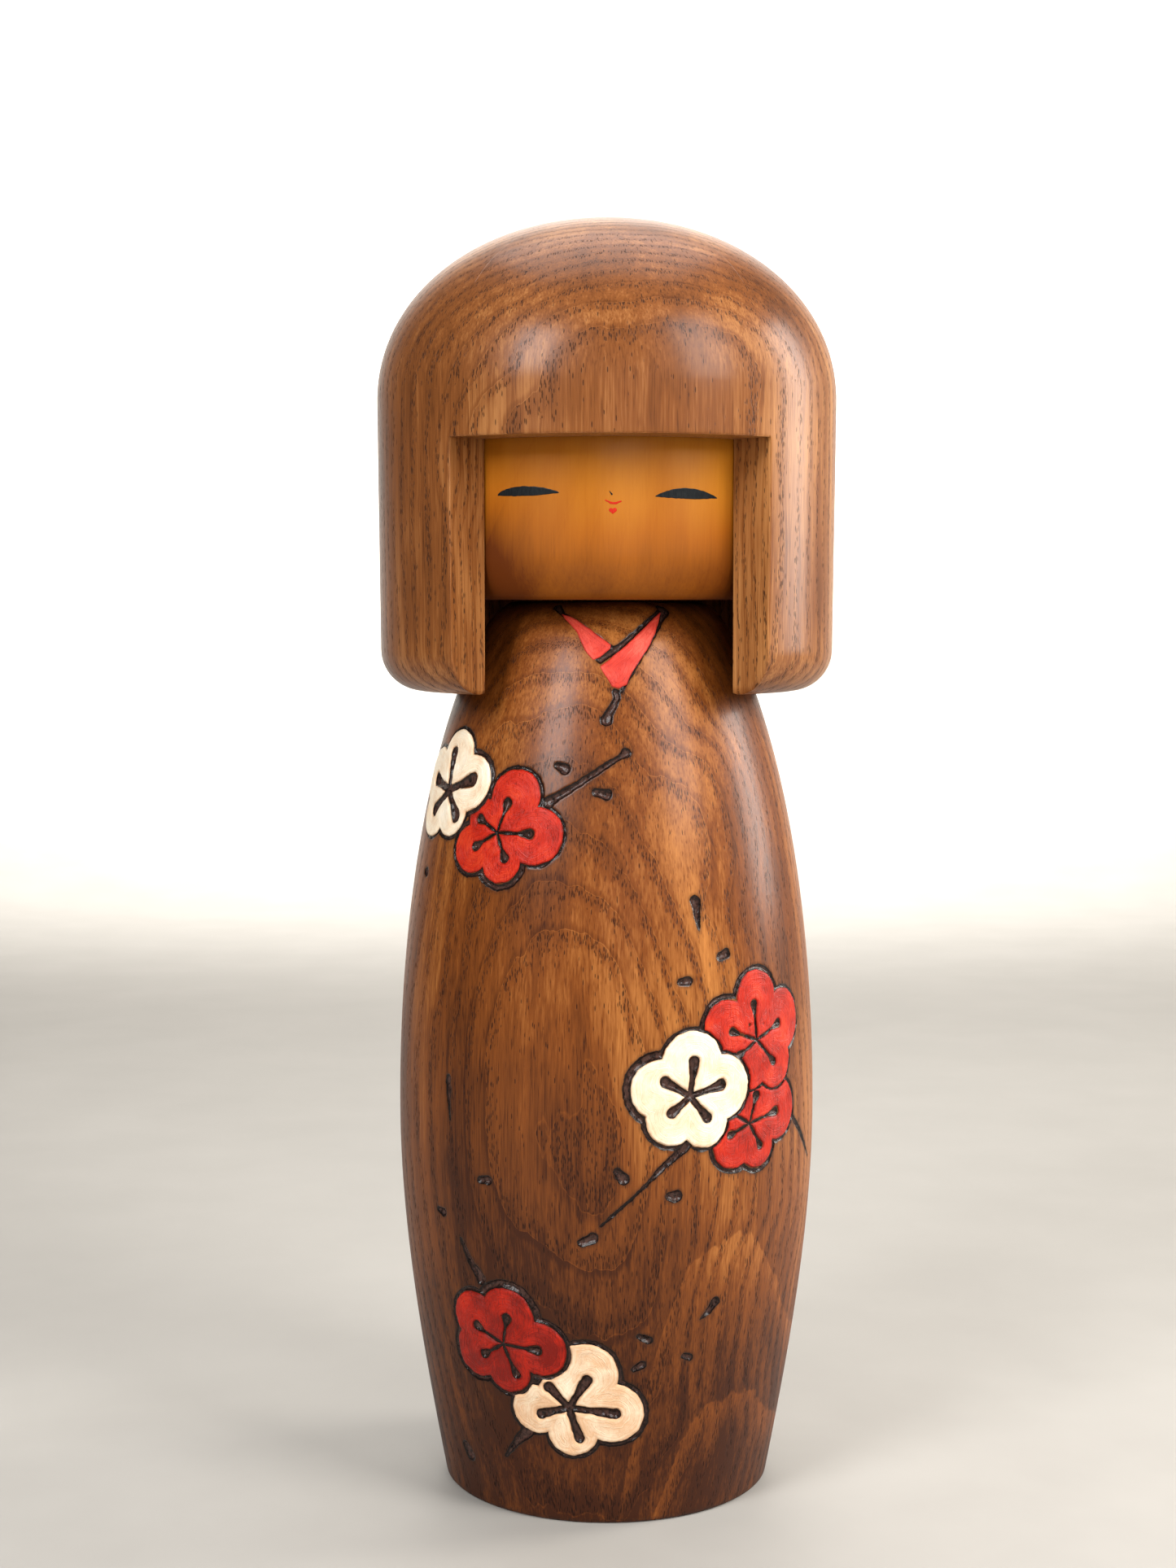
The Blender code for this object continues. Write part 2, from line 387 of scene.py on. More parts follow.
# Each blossom: where its middle is (angle, height), its five petals (direction, distance, radius,
# width of the burnt outline), its stamens (direction, length), their half widths at the middle
# and at the tip with the share of the length where the tip's club starts, its paint, and the
# blossoms that lie over it.
Blossom = namedtuple("Blossom", "middle petals stamens widths paint under")
BLOSSOMS = {
    "blossom_1": Blossom(
        (-61.0, 146.6),
        (
            (87, 6.6, 6.0, 0.7), (15, 7.4, 5.8, 1.2), (-60, 4.8, 5.2, 0.8),
            (-140, 7.2, 5.4, 0.6), (162, 8.2, 6.0, 0.6),
        ),
        ((99, 7.6), (19, 8.0), (-48, 6.6), (-140, 7.0), (167, 8.0)),
        (0.85, 1.5, 0.5), "cream", (),
    ),
    "blossom_2": Blossom(
        (-35.3, 139.2),
        (
            (66, 7.9, 5.6, 0.8), (-2, 8.7, 5.8, 0.6), (-75, 5.6, 4.6, 1.5),
            (-150, 7.0, 4.9, 1.0), (146, 4.2, 4.2, 0.5),
        ),
        ((74, 6.2), (0, 7.4), (-64, 5.5), (-149, 5.9), (152, 5.1)),
        (0.34, 1.05, 0.68), "red", ("blossom_1",),
    ),
    "blossom_3": Blossom(
        (42.9, 97.8),
        (
            (86, 8.4, 5.6, 1.0), (20, 9.0, 6.4, 0.6), (-42, 7.0, 5.6, 0.6),
            (-110, 5.0, 5.0, 0.6), (155, 8.2, 5.4, 1.2),
        ),
        ((94, 7.2), (20, 7.3), (-45, 6.9), (160, 6.8), (-152, 5.4)),
        (0.32, 0.95, 0.7), "red", ("blossom_4",),
    ),
    "blossom_4": Blossom(
        (21.2, 88.3),
        (
            (84, 6.2, 6.6, 0.8), (10, 7.2, 6.5, 0.9), (-60, 6.0, 5.2, 0.8),
            (-133, 5.6, 5.4, 1.0), (165, 6.3, 6.0, 1.7),
        ),
        ((82, 6.8), (14, 7.1), (-51, 5.9), (-142, 5.0), (149, 6.0)),
        (0.65, 1.15, 0.45), "cream", (),
    ),
    "blossom_5": Blossom(
        (39.7, 81.4),
        (
            (12, 8.6, 6.2, 0.8), (-66, 5.0, 4.7, 1.1), (-140, 5.4, 5.0, 1.1),
            (150, 5.0, 4.6, 0.6), (74, 4.6, 4.0, 0.7),
        ),
        ((71, 5.8), (10, 8.0), (-58, 5.7), (-161, 5.2), (150, 5.4)),
        (0.32, 0.9, 0.7), "red", ("blossom_4", "blossom_3"),
    ),
    "blossom_6": Blossom(
        (-31.6, 37.1),
        (
            (78, 6.0, 6.1, 1.8), (0, 8.1, 5.6, 1.2), (-82, 5.2, 5.0, 1.0),
            (-160, 7.0, 5.6, 1.2), (146, 8.0, 5.6, 0.9),
        ),
        ((77, 5.8), (-3, 7.6), (-68, 6.6), (-148, 5.7), (156, 6.8)),
        (0.34, 1.05, 0.66), "red", (),
    ),
    "blossom_7": Blossom(
        (-12.0, 25.2),
        (
            (64, 8.2, 6.5, 1.0), (-6, 8.6, 6.4, 1.1), (-84, 5.4, 5.0, 0.9),
            (-172, 6.8, 5.2, 0.7), (135, 3.8, 3.8, 0.8),
        ),
        ((58, 7.2), (-7, 9.2), (-74, 6.8), (-162, 6.1), (134, 5.7)),
        (0.75, 1.15, 0.45), "cream", ("blossom_6",),
    ),
}  # fmt: skip

# Burnt strokes, each a line of (angle, height, half width): twigs, drops and their tails, the
# lines of the collar and its knot.
STROKES = (
    (
        (-18.8, 145.5, 1.25), (-16.5, 146.4, 1.0), (-5.6, 150.8, 0.7), (2.9, 154.2, 0.6),
        (5.3, 155.0, 1.15),
    ),
    ((24.5, 126.2, 1.2), (24.7, 124.0, 0.9), (25.2, 120.2, 0.25)),
    ((57.9, 81.2, 0.5), (63.7, 77.1, 0.7), (72.7, 70.1, 0.3)),
    ((-47.5, 89.8, 0.75), (-47.4, 86.5, 0.65), (-46.7, 81.4, 0.2)),
    ((20.4, 78.7, 1.1), (14.8, 75.4, 0.75), (8.1, 70.4, 0.4), (-2.4, 63.2, 0.3)),
    ((-44.1, 57.6, 0.3), (-41.0, 53.3, 0.85), (-37.5, 50.0, 1.25)),
    ((-22.8, 20.7, 1.5), (-29.4, 16.8, 1.05), (-34.7, 12.6, 0.25)),
    ((30.5, 45.9, 1.1), (28.9, 44.4, 0.8), (25.9, 42.7, 0.25)),
    ((-27.9, 183.4, 0.9), (-22.9, 182.1, 0.45), (-5.7, 178.0, 0.3), (1.5, 175.6, 0.3)),
    ((29.9, 183.4, 0.5), (11.5, 178.3, 0.5), (3.0, 175.2, 0.75), (-3.7, 173.3, 0.95)),
    ((28.3, 183.3, 0.9), (29.5, 182.6, 1.1), (24.5, 180.0, 0.35)),
    ((24.5, 180.0, 0.35), (16.5, 175.4, 0.3), (10.7, 171.8, 0.3), (4.6, 167.2, 0.45)),
    ((2.2, 166.8, 0.85), (2.8, 165.8, 0.75), (-0.2, 162.4, 1.0), (-0.9, 161.5, 1.35)),
)  # fmt: skip

# Seeds: (angle, height, half length, half width, tilt in degrees).
SEEDS = (
    (-15.6, 152.3, 1.7, 1.15, -25),
    (-2.5, 147.3, 1.95, 1.2, -12),
    (-68.3, 129.6, 1.0, 1.1, 0),
    (32.3, 115.3, 1.7, 1.15, 22),
    (20.2, 110.8, 1.6, 1.05, 5),
    (-34.9, 70.7, 1.75, 1.1, 2),
    (-51.7, 62.2, 1.5, 1.0, -10),
    (2.7, 73.3, 1.9, 1.25, -50),
    (16.5, 68.7, 1.7, 1.35, -8),
    (-6.0, 60.2, 2.1, 1.25, 25),
    (9.6, 39.9, 1.8, 1.0, -25),
    (22.6, 35.2, 1.35, 0.9, -20),
    (8.1, 33.9, 1.5, 0.95, 28),
    (-52.7, 11.1, 2.2, 1.6, -55),
)


def petals(blossom, angle, along, outline=0.0):
    """Distance to the edge of five round petals and the round middle they share: the least
    distance to a petal's middle, less its radius and a share of its outline's width. It is
    negative inside."""
    across, up = body_side.flat(blossom.middle, angle, along)
    found = np.hypot(across, up) - BLOSSOM_CORE
    for direction, distance, radius, width in blossom.petals:
        turn = math.radians(direction)
        away = np.hypot(across - distance * math.cos(turn), up - distance * math.sin(turn))
        found = np.minimum(found, away - radius - outline * width)
    return found


def stamens(blossom, angle, along):
    """Distance to the stamens: a thin stroke from the middle, and a club over its outer part."""
    across, up = body_side.flat(blossom.middle, angle, along)
    thin, thick, start = blossom.widths
    found = np.hypot(across, up) - 1.5 * thin
    for direction, length in blossom.stamens:
        tip = np.array((math.cos(math.radians(direction)), math.sin(math.radians(direction))))
        found = np.minimum(found, capsule(across, up, (0, 0), tip * length, thin, thin))
        club = capsule(across, up, tip * length * start, tip * length, thin, thick)
        found = np.minimum(found, club)
    return found


def burnt(angle, along):
    """Distance to the nearest burnt mark: a stroke, a seed, a stamen or a blossom's outline, which
    is the ring between its petals and the same petals made wider."""
    found = np.full(np.shape(angle), FAR)
    for stroke in STROKES:
        anchor = stroke[0][:2]
        knots = [(*body_side.flat(anchor, a, body_side.length_at(z)), r) for a, z, r in stroke]
        across, up = body_side.flat(anchor, angle, along)
        found = np.minimum(found, brush_line(across, up, knots))
    for a, z, long, wide, tilt in SEEDS:
        across, up = body_side.flat((a, z), angle, along)
        turn = math.radians(tilt)
        u = across * math.cos(turn) + up * math.sin(turn)
        v = up * math.cos(turn) - across * math.sin(turn)
        ends = np.array((long - wide * 0.75, 0.0))
        found = np.minimum(found, capsule(u, v, -ends, ends, wide * 0.7, wide))
    for blossom in BLOSSOMS.values():
        ring = np.maximum(petals(blossom, angle, along, 1.0), -petals(blossom, angle, along))
        mark = np.minimum(ring, stamens(blossom, angle, along))
        for over in blossom.under:
            mark = np.maximum(mark, -petals(BLOSSOMS[over], angle, along))
        found = np.minimum(found, mark)
    across, up = body_side.flat((0, BELLY_HEIGHT), angle, along)
    return found + 0.13 * wobble(across, up, 0.9, 3) + 0.1 * wobble(across, up, 2.3, 4)


def turned_wood(
    name, tones, pith, lean, ring, sway, pores, streaks, gloss, polish,
    shade=(1.0, 0.0, 0.0, 500.0), sapwood_and_lit_side=(0.0, 1.0, 0.0), figure=(), tongues=(), scorched=False,
):  # fmt: skip
    """Turned wood, as a solid pattern. Growth rings are shells, ring apart, round a pith line far
    from the piece, pushed about by slow noise worth sway and by figure: smooth hills in their
    depth, (x, z, half width, half height, push). Each ring has its own tone and darkens a little
    towards its late edge. Pores are long thin cells, crowded just inside each ring, and on a
    turned face they run down its slope: their place is (x k, y k, z - 0.8 r) with
    k = PORE_RADIUS / r, for a radius r of PORE_INNER or more. Fibres are noise drawn out along the
    grain. pith is (x, y), and lean how far it moves for each unit of height. polish is (gloss of
    the wood, weight of the varnish), gloss its roughness, pores the share of cells that are pores,
    and streaks the strength of its tones. shade is (height where it starts, height where it is full,
    amount, half width) of painted shade, darker and duller, that grows by (x / half width)^2
    towards the sides, and sapwood is (x, x, amount) of a paler tone towards one side, partly paler
    wood and partly painted light on the lit side. tongues are paler growth, (x, z, spread, depth,
    amount): the space under z - (x - its x)^2 / spread, with a ragged edge, fading out over the
    depth under it. A scorched wood is charred where its groove value falls under 0. Where sawn is
    1 the face is a saw cut, a little paler."""
    look = Look(name)
    x, y, z = look.axes()
    from_x = x - (pith[0] + z * lean[0])
    from_y = y - (pith[1] + z * lean[1])
    slow = look.noise((42, 42, 75), 1.0, 0.5) - 0.5
    quick = look.noise((9, 9, 26), 2.0, 0.55, 4.0) - 0.5
    fine = look.noise((1.6, 1.6, 3.2), 1.0, 0.5, 6.0) - 0.5
    depth = (from_x * from_x + from_y * from_y).root()
    depth = depth + slow * sway + quick * (0.2 * sway) + fine * 0.35
    for centre_x, centre_z, wide, high, push in figure:
        across, up = (x - centre_x) / wide, (z - centre_z) / high
        depth = depth + (across * across + up * up).eased(1.0, 0.0) * push
    count = depth / ring
    t = count.part()
    own = look.node("TexWhiteNoise", {"W": count.whole()}, noise_dimensions="1D")
    own = Value(look, own.outputs["Value"])

    # Painted shade: darker and duller from one height to another, more so towards the sides.
    sideways = x * (1 / shade[3])
    dark = z.eased(*shade[:2]) * shade[2] * (1.0 + sideways * sideways)
    sawn = look.attribute("sawn")
    streak = look.noise((0.4, 0.4, 12), 3.0, 0.6, 2.0)
    band = look.noise((2.0, 2.0, 60), 2.0, 0.5, 7.0)
    patch = look.noise((24, 24, 50), 2.0, 0.5, 11.0)
    vein = look.noise((0.3, 0.3, 8.0), 1.0, 0.5, 13.0).eased(0.58, 0.7)
    early = 1.0 - t.eased(0.04, 0.5)
    late = t.eased(0.8, 0.96) * (1.0 - t.eased(0.985, 1.0))
    crowd = (1.0 - t.eased(0.16, 0.42)) * t.eased(0.0, 0.02)
    tone = (
        0.5
        + (own - 0.5) * (0.12 * streaks)
        + (early - 0.45) * (0.06 * streaks)
        - late * (0.11 * streaks)
        - crowd * patch * (0.24 * streaks)
        + (streak - 0.5) * (0.5 * streaks)
        + (band - 0.5) * (0.35 * streaks)
        - vein * (0.16 * streaks)
        + (patch - 0.5) * 0.9
        # Painted shade, then a paler side that is partly paler wood and partly painted light.
        - dark
        + x.eased(*sapwood_and_lit_side[:2]) * sapwood_and_lit_side[2]
        + sawn * 0.12
    )
    for tip_x, tip_z, spread, fade, amount in tongues:
        aside = x - tip_x + slow * 8.0
        under = tip_z - z - aside * aside * (1 / spread) + quick * 9.0 + fine * 4.0
        tone = tone + under.eased(0.0, 0.8) * under.eased(fade, 0.0) * amount
    colour = look.ramp(tone, [(0.1, tones[0]), (0.46, tones[1]), (0.85, tones[2])])

    from_axis = (x * x + y * y).root().most(PORE_INNER)
    from_axis = from_axis + (PORE_RADIUS - from_axis) * sawn
    swell = PORE_RADIUS / PORE_ACROSS / from_axis
    pore_place = {"X": x * swell, "Y": y * swell, "Z": (z - from_axis * 0.8) * (1 / PORE_ALONG)}
    from_middle, chance = look.cells(look.node("CombineXYZ", pore_place).outputs[0])
    share = pores * (0.06 + crowd * (0.5 + patch))
    pore = from_middle.eased(0.46, 0.26) * chance.below(share)
    colour = look.mixed(pore * 0.76, colour, tuple(0.2 * c for c in tones[0]))

    hair_lines = look.noise((0.16, 0.16, 5.0), 2.0, 0.6, 5.0)
    rough = gloss + (streak - 0.5) * 0.14 + pore * 0.3 + dark * 0.8
    height = 1.0 - pore * 0.9 + hair_lines * 0.35
    normal = look.dented(height, 0.06)
    if scorched:
        groove = look.attribute("groove") + (look.noise((0.5, 0.5, 0.7), 2.0) - 0.5) * 0.25
        halo = groove.eased(0.8, 0.0)
        char = groove.eased(0.12, -0.12)
        ash = look.noise((0.7, 0.7, 1.0), 3.0, 0.65, 9.0)
        # Deep in a wide groove the char turns paler brown-grey: partly ash, partly painted sheen.
        ash_and_sheen = groove.eased(-0.15, -0.6) * ash.eased(0.3, 0.62)
        burnt_colour = look.mixed(ash_and_sheen, tint(18, 11, 9), tint(74, 50, 43))
        colour = look.mixed(halo * 0.4, colour, tint(48, 26, 12))
        colour = look.mixed(char, colour, burnt_colour)
        rough = rough + (ash * 0.3 + 0.05 - rough) * char
        height = height * (1.0 - char) + ash * 2.2 * char
        normal = look.dented(height, 0.07)
    return look.finish(
        Base_Color=colour,
        Roughness=rough,
        Normal=normal,
        Specular_IOR_Level=polish[0],
        Coat_Weight=dark.eased(0.5, 0.3) * polish[1],
        Coat_Roughness=VARNISH_ROUGH,
        Coat_IOR=VARNISH_IOR,
    )


stained_wood = turned_wood(
    "stained_wood",
    (tint(58, 25, 6), tint(116, 61, 20), tint(176, 112, 54)),
    pith=(30.0, 140.0),
    lean=(0.02, -0.01),
    ring=3.0,
    sway=11.0,
    pores=0.85,
    streaks=1.0,
    gloss=0.38,
    polish=(0.15, 0.2),
    # Painted shade darkens the foot, and the right side is paler, partly paler wood and partly
    # painted light.
    shade=(120.0, 0.0, 0.3, 500.0),
    sapwood_and_lit_side=(33.0, 46.0, 0.26),
    figure=((-9, 91, 26, 44, 4.5), (30, 39, 22, 26, -4.0), (22, 143, 16, 20, 3.0)),
    tongues=((24.5, 60.5, 8.5, 15.0, 0.17), (25.5, 26.5, 10.0, 15.0, 0.2)),
    scorched=True,
)

# The outline's parts in order, each a line of (radius, height) and its number of mesh rows.
side_rows = round(body_side.along[-1] / ROW_STEP)
outline_parts = [
    ([(0, HOLLOW_DEPTH), (HOLLOW_RADIUS, HOLLOW_DEPTH)], 6),
    ([(HOLLOW_RADIUS, HOLLOW_DEPTH), (HOLLOW_RADIUS + HOLLOW_EDGE, 0)], 2),
    ([(HOLLOW_RADIUS + HOLLOW_EDGE, 0), (FOOT_RADIUS - FOOT_EDGE, 0)], 3),
    (arc((FOOT_RADIUS - FOOT_EDGE, FOOT_EDGE), (FOOT_EDGE, FOOT_EDGE), -90, 0, 30), 3),
    (body_side_line, side_rows),
    ([(SEAT_RADIUS, BODY_HEIGHT), (BORE_RADIUS + BORE_LIP, BODY_HEIGHT)], 5),
    ([(BORE_RADIUS + BORE_LIP, BODY_HEIGHT), (BORE_RADIUS, BODY_HEIGHT - BORE_LIP)], 1),
    ([(BORE_RADIUS, BODY_HEIGHT - BORE_LIP), (BORE_RADIUS, BORE_FLOOR)], 8),
    ([(BORE_RADIUS, BORE_FLOOR), (0, BORE_FLOOR)], 3),
]
first_side_row = sum(rows for _, rows in outline_parts[:4])
ROWS = sum(rows for _, rows in outline_parts)


def outline_at(parts, row):
    """(radius, height) at a row number, which may be a fraction, along the outline's parts."""
    found, before = np.zeros((len(row), 2)), 0
    for points, rows in parts:
        here = (row >= before) & (row <= before + rows)
        along = lengths(points)
        share = (row[here] - before) / rows * along[-1]
        found[here] = np.stack([np.interp(share, along, axis) for axis in zip(*points)], axis=1)
        before += rows
    return found


# A coarse net of cells covers the outline turned round the axis. Cells near a burnt mark are
# split FINE by FINE, and a coarse cell beside them takes the extra points into its own rim.
cell_row, cell_column = np.meshgrid(np.arange(ROWS), np.arange(COLUMNS), indexing="ij")
on_side = (cell_row >= first_side_row) & (cell_row < first_side_row + side_rows)
middle_along = (cell_row + 0.5 - first_side_row) / side_rows * body_side.along[-1]
middle_angle = (cell_column + 0.5) * 360 / COLUMNS - 180
split = on_side & (burnt(middle_angle, middle_along) < REFINE_WITHIN)

steps = np.arange(FINE)
rim_row = np.concatenate([0 * steps, steps, 0 * steps + FINE, FINE - steps])
rim_column = np.concatenate([steps, 0 * steps + FINE, FINE - steps, 0 * steps])
beyond = (
    np.roll(split, 1, axis=0),
    np.roll(split, -1, axis=1),
    np.roll(split, -1, axis=0),
    np.roll(split, 1, axis=1),
)
whole = ~split
plain_row = (FINE * cell_row[whole])[:, None] + rim_row
plain_column = ((FINE * cell_column[whole])[:, None] + rim_column) % (FINE * COLUMNS)
kept = np.concatenate(
    [np.repeat(side[whole][:, None], FINE, axis=1) for side in beyond], axis=1
)
kept[:, ::FINE] = True
# On the axis a row is one point, so its cells are triangles.
at_foot_pole, at_bore_pole = cell_row[whole] == 0, cell_row[whole] == ROWS - 1
kept[at_foot_pole, FINE] = False
kept[at_bore_pole, 3 * FINE] = False
plain_column = np.where((plain_row == 0) | (plain_row == FINE * ROWS), 0, plain_column)
width = FINE * COLUMNS
plain_keys = plain_row * width + plain_column

quad_row, quad_column = np.array([0, 0, 1, 1]), np.array([0, 1, 1, 0])
sub_row, sub_column = (grid.ravel() for grid in np.meshgrid(steps, steps, indexing="ij"))
fine_row = (FINE * cell_row[split])[:, None, None] + sub_row[:, None] + quad_row
fine_column = (FINE * cell_column[split])[:, None, None] + sub_column[:, None] + quad_column
fine_keys = (fine_row * width + fine_column % width).reshape(-1, 4)

sizes = np.concatenate([kept.sum(axis=1), np.full(len(fine_keys), 4)])
all_keys = np.concatenate([plain_keys[kept], fine_keys.ravel()])
used, corner = np.unique(all_keys, return_inverse=True)
body_faces = [face.tolist() for face in np.split(corner, np.cumsum(sizes)[:-1])]
row, column = used // width / FINE, used % width
angle = column * 360 / width - 180
radius_height = outline_at(outline_parts, row)
points = turned_points(angle, radius_height[:, 0], radius_height[:, 1])
side = (row >= first_side_row) & (row <= first_side_row + side_rows)
along = (row[side] - first_side_row) / side_rows * body_side.along[-1]
groove = np.full(len(used), GROOVE_FAR)
groove[side] = np.clip(burnt(angle[side], along), -GROOVE_FAR, GROOVE_FAR)
cut = GROOVE_DEPTH * eased(-groove[side], 0, GROOVE_SLOPE)
cut = cut * (1 + 0.25 * wobble(angle[side], along, 1.1, 5))
points[side] = body_side.points(angle[side], along, -cut)

new_piece(
    "body_wood",
    points,
    body_faces,
    stained_wood,
    "body",
    replaces=["body"],
    values={"groove": groove},
)


# The blossoms: thick acrylic paint, brushed on inside each burnt outline after the varnish, with
# the stamens left bare. Red is thinner and lets the pores show, cream is thick and ridged.
BLOSSOM_REACH, OUTLINE_BARE = 16.5, 0.75
PROBE = 0.02
# How each coat lies: its thickness, the width of its rounded rim, how far it goes back into the
# wood, and the size of its mesh cells.
RED_COAT = (0.24, 0.75, 0.35, 0.2)
CREAM_COAT = (0.34, 0.75, 0.35, 0.2)
COLLAR_COAT = (0.1, 0.5, 0.25, 0.2)
INK_COAT = (0.03, 0.12, 0.06, 0.08)


def paint_film(name, side, anchor, span, distance, coat, material, body):
    """A coat of paint on a turned surface. Of a grid laid flat round the anchor, over span (least
    and greatest across, least and greatest up), the cells whose middle has a distance under 0 are
    kept. Their rim slides down the distance's slope to 0. The coat rises from its rim as a quarter
    round, and goes back into the wood behind it."""
    low_across, high_across, low_up, high_up = span
    thick, edge, back, step = coat
    across, up = np.meshgrid(
        np.arange(low_across, high_across, step), np.arange(low_up, high_up, step), indexing="ij"
    )

    def off(a, b):
        return distance(*side.curled(anchor, a, b))

    centre = off(across[:-1, :-1] + step / 2, up[:-1, :-1] + step / 2) < 0
    count = np.zeros(across.shape, int)
    corners = [np.s_[:-1, :-1], np.s_[1:, :-1], np.s_[1:, 1:], np.s_[:-1, 1:]]
    for corner in corners:
        count[corner] += centre
    rim = (count > 0) & (count < 4)
    a, b = across[rim], up[rim]
    for _ in range(4):
        here = off(a, b)
        slope_a = (off(a + PROBE, b) - here) / PROBE
        slope_b = (off(a, b + PROBE) - here) / PROBE
        steep = np.maximum(slope_a**2 + slope_b**2, 0.25)
        move = np.clip(here / steep, -step / 2, step / 2)
        a, b = a - move * slope_a, b - move * slope_b
    start_a, start_b = across[rim], up[rim]
    reach = 0.95 * step
    across[rim] = np.clip(a, start_a - reach, start_a + reach)
    up[rim] = np.clip(b, start_b - reach, start_b + reach)
    index = np.arange(across.size).reshape(across.shape)
    faces = np.stack([index[corner][centre] for corner in corners], axis=1)
    used, faces = np.unique(faces, return_inverse=True)
    across, up = across.ravel()[used], up.ravel()[used]
    angle, along = side.curled(anchor, across, up)
    inset = np.maximum(-distance(angle, along), 0)
    inset[rim.ravel()[used]] = 0
    share = np.clip(inset / edge, 0, 1)
    lift = thick * np.sqrt(share * (2 - share))
    lift = lift * (1 + 0.14 * wobble(across, up, 2.6, 21) + 0.08 * wobble(across, up, 1.1, 22))
    places, faces = side.points(angle, along, lift), faces.reshape(-1, 4).tolist()
    piece = new_piece(name, places, faces, material, body, values={"inset": inset})
    backing = piece.modifiers.new("back", "SOLIDIFY")
    backing.thickness = back * MM
    backing.offset = -1


def paint(name, deep, full, pale, brush, ridge, wood_show):
    """Brushed paint. Ridges run round inside the edge, as a brush follows it: noise over the
    distance in from the edge. Thin places show the deep tone, ridges the pale one, and painted
    shade makes the paint deeper towards the foot."""
    look = Look(name)
    _, _, z = look.axes()
    inset = look.attribute("inset")
    drift = look.noise((3.5, 3.5, 3.5), 2.0, 0.5) * 3.0
    hair = {"W": inset * brush + drift * 1.6, "Scale": 1.0, "Detail": 3.0, "Roughness": 0.65}
    hairs = Value(look, look.node("TexNoise", hair, noise_dimensions="1D").outputs[0])
    blotch = look.noise((4.5, 4.5, 4.5), 3.0, 0.55, 6.0)
    speck = look.noise((0.35, 0.35, 0.6), 2.0, 0.6, 8.0)
    from_middle, _ = look.cells(look.scaled((0.42, 0.42, 3.6), 3.0))
    pore = from_middle.eased(0.38, 0.15) * wood_show
    tone = 0.5 + (hairs - 0.5) * 0.7 + (blotch - 0.5) * 1.1 + (speck - 0.5) * 0.25
    # The last term is painted shade: the paint is deeper towards the foot.
    tone = tone - inset.eased(0.35, 0.0) * 0.25 - pore * 0.3 - z.eased(110.0, 10.0) * 0.3
    colour = look.ramp(tone, [(0.1, deep), (0.5, full), (0.9, pale)])
    height = hairs * ridge + speck * 0.7 - pore * 0.9
    return look.finish(
        Base_Color=colour,
        Roughness=0.42 + (blotch - 0.5) * 0.2 + (speck - 0.5) * 0.15,
        Normal=look.dented(height, 0.1),
        Specular_IOR_Level=0.22,
        Coat_Weight=0.05,
        Coat_Roughness=0.25,
    )


red_paint = paint(
    "red_paint", tint(118, 16, 5), tint(180, 32, 10), tint(206, 62, 28), 3.2, 1.4, 0.55
)
cream_paint = paint(
    "cream_paint", tint(222, 178, 138), tint(245, 224, 194), tint(252, 243, 226), 3.0, 2.0, 0.1
)

for name, blossom in BLOSSOMS.items():

    def inside(angle, along, blossom=blossom):
        """Distance to the painted part of a blossom: its petals, less its stamens, less every
        blossom over it with that one's outline."""
        found = np.maximum(petals(blossom, angle, along), -stamens(blossom, angle, along))
        for over in blossom.under:
            found = np.maximum(found, -petals(BLOSSOMS[over], angle, along, OUTLINE_BARE))
        across, up = body_side.flat(blossom.middle, angle, along)
        return found + 0.1 * wobble(across, up, 0.8, 11) + 0.12 * wobble(across, up, 2.2, 12)

    is_red = blossom.paint == "red"
    coat, material = (RED_COAT, red_paint) if is_red else (CREAM_COAT, cream_paint)
    span = (-BLOSSOM_REACH, BLOSSOM_REACH, -BLOSSOM_REACH, BLOSSOM_REACH)
    slot = blossom.paint + "_paint"
    paint_film(name, body_side, blossom.middle, span, inside, coat, material, "body")


# The kimono's collar: two thin red areas on the shoulder, crossed left over right, between the
# burnt lines that draw its edges.
COLLAR_MIDDLE, COLLAR_SPAN = (0.0, 174.0), (-14.0, 16.0, -9.0, 13.5)
COLLAR_SPREAD = 0.15
COLLAR_UNDER = (
    (-23.4, 182.1), (-17.5, 181.4), (-8.5, 179.1), (0.6, 176.1), (0.4, 175.4),
    (-3.9, 173.8), (-6.3, 173.3), (-9.9, 175.1), (-14.3, 178.7),
)  # fmt: skip
COLLAR_OVER = (
    (26.9, 182.4), (22.0, 179.2), (15.9, 175.2), (10.1, 171.8), (6.2, 168.4), (3.8, 167.7),
    (1.1, 168.1), (-3.2, 171.8), (-1.2, 172.6), (5.2, 175.1), (13.9, 178.4),
)  # fmt: skip


def collar_area(corners, angle, along):
    """Distance to a polygon with corners (angle, height): the least distance to an edge, which is
    negative where a line out to the side crosses an odd number of edges."""
    across, up = body_side.flat(COLLAR_MIDDLE, angle, along)
    line = [body_side.flat(COLLAR_MIDDLE, a, body_side.length_at(z)) for a, z in corners]
    found, within = np.full(np.shape(across), FAR), np.zeros(np.shape(across), bool)
    for start, end in zip(line, line[1:] + line[:1]):
        found = np.minimum(found, capsule(across, up, start, end, 0, 0))
        if start[1] != end[1]:
            crossing = start[0] + (up - start[1]) / (end[1] - start[1]) * (end[0] - start[0])
            within ^= ((start[1] > up) != (end[1] > up)) & (across < crossing)
    found = np.where(within, -found, found) - COLLAR_SPREAD
    return found + 0.1 * wobble(across, up, 1.2, 31)


# A paler red than the blossoms' red: partly the collar's own thin coral paint, partly painted light
# on the shoulder under the head.
coral_and_lit_paint = paint(
    "coral_and_lit_paint", tint(160, 34, 24), tint(196, 58, 44), tint(222, 98, 78), 3.2, 0.8, 0.3
)

for name, corners in (("collar_under", COLLAR_UNDER), ("collar_over", COLLAR_OVER)):
    paint_film(
        name,
        body_side,
        COLLAR_MIDDLE,
        COLLAR_SPAN,
        partial(collar_area, corners),
        COLLAR_COAT,
        coral_and_lit_paint,
        "body",
    )


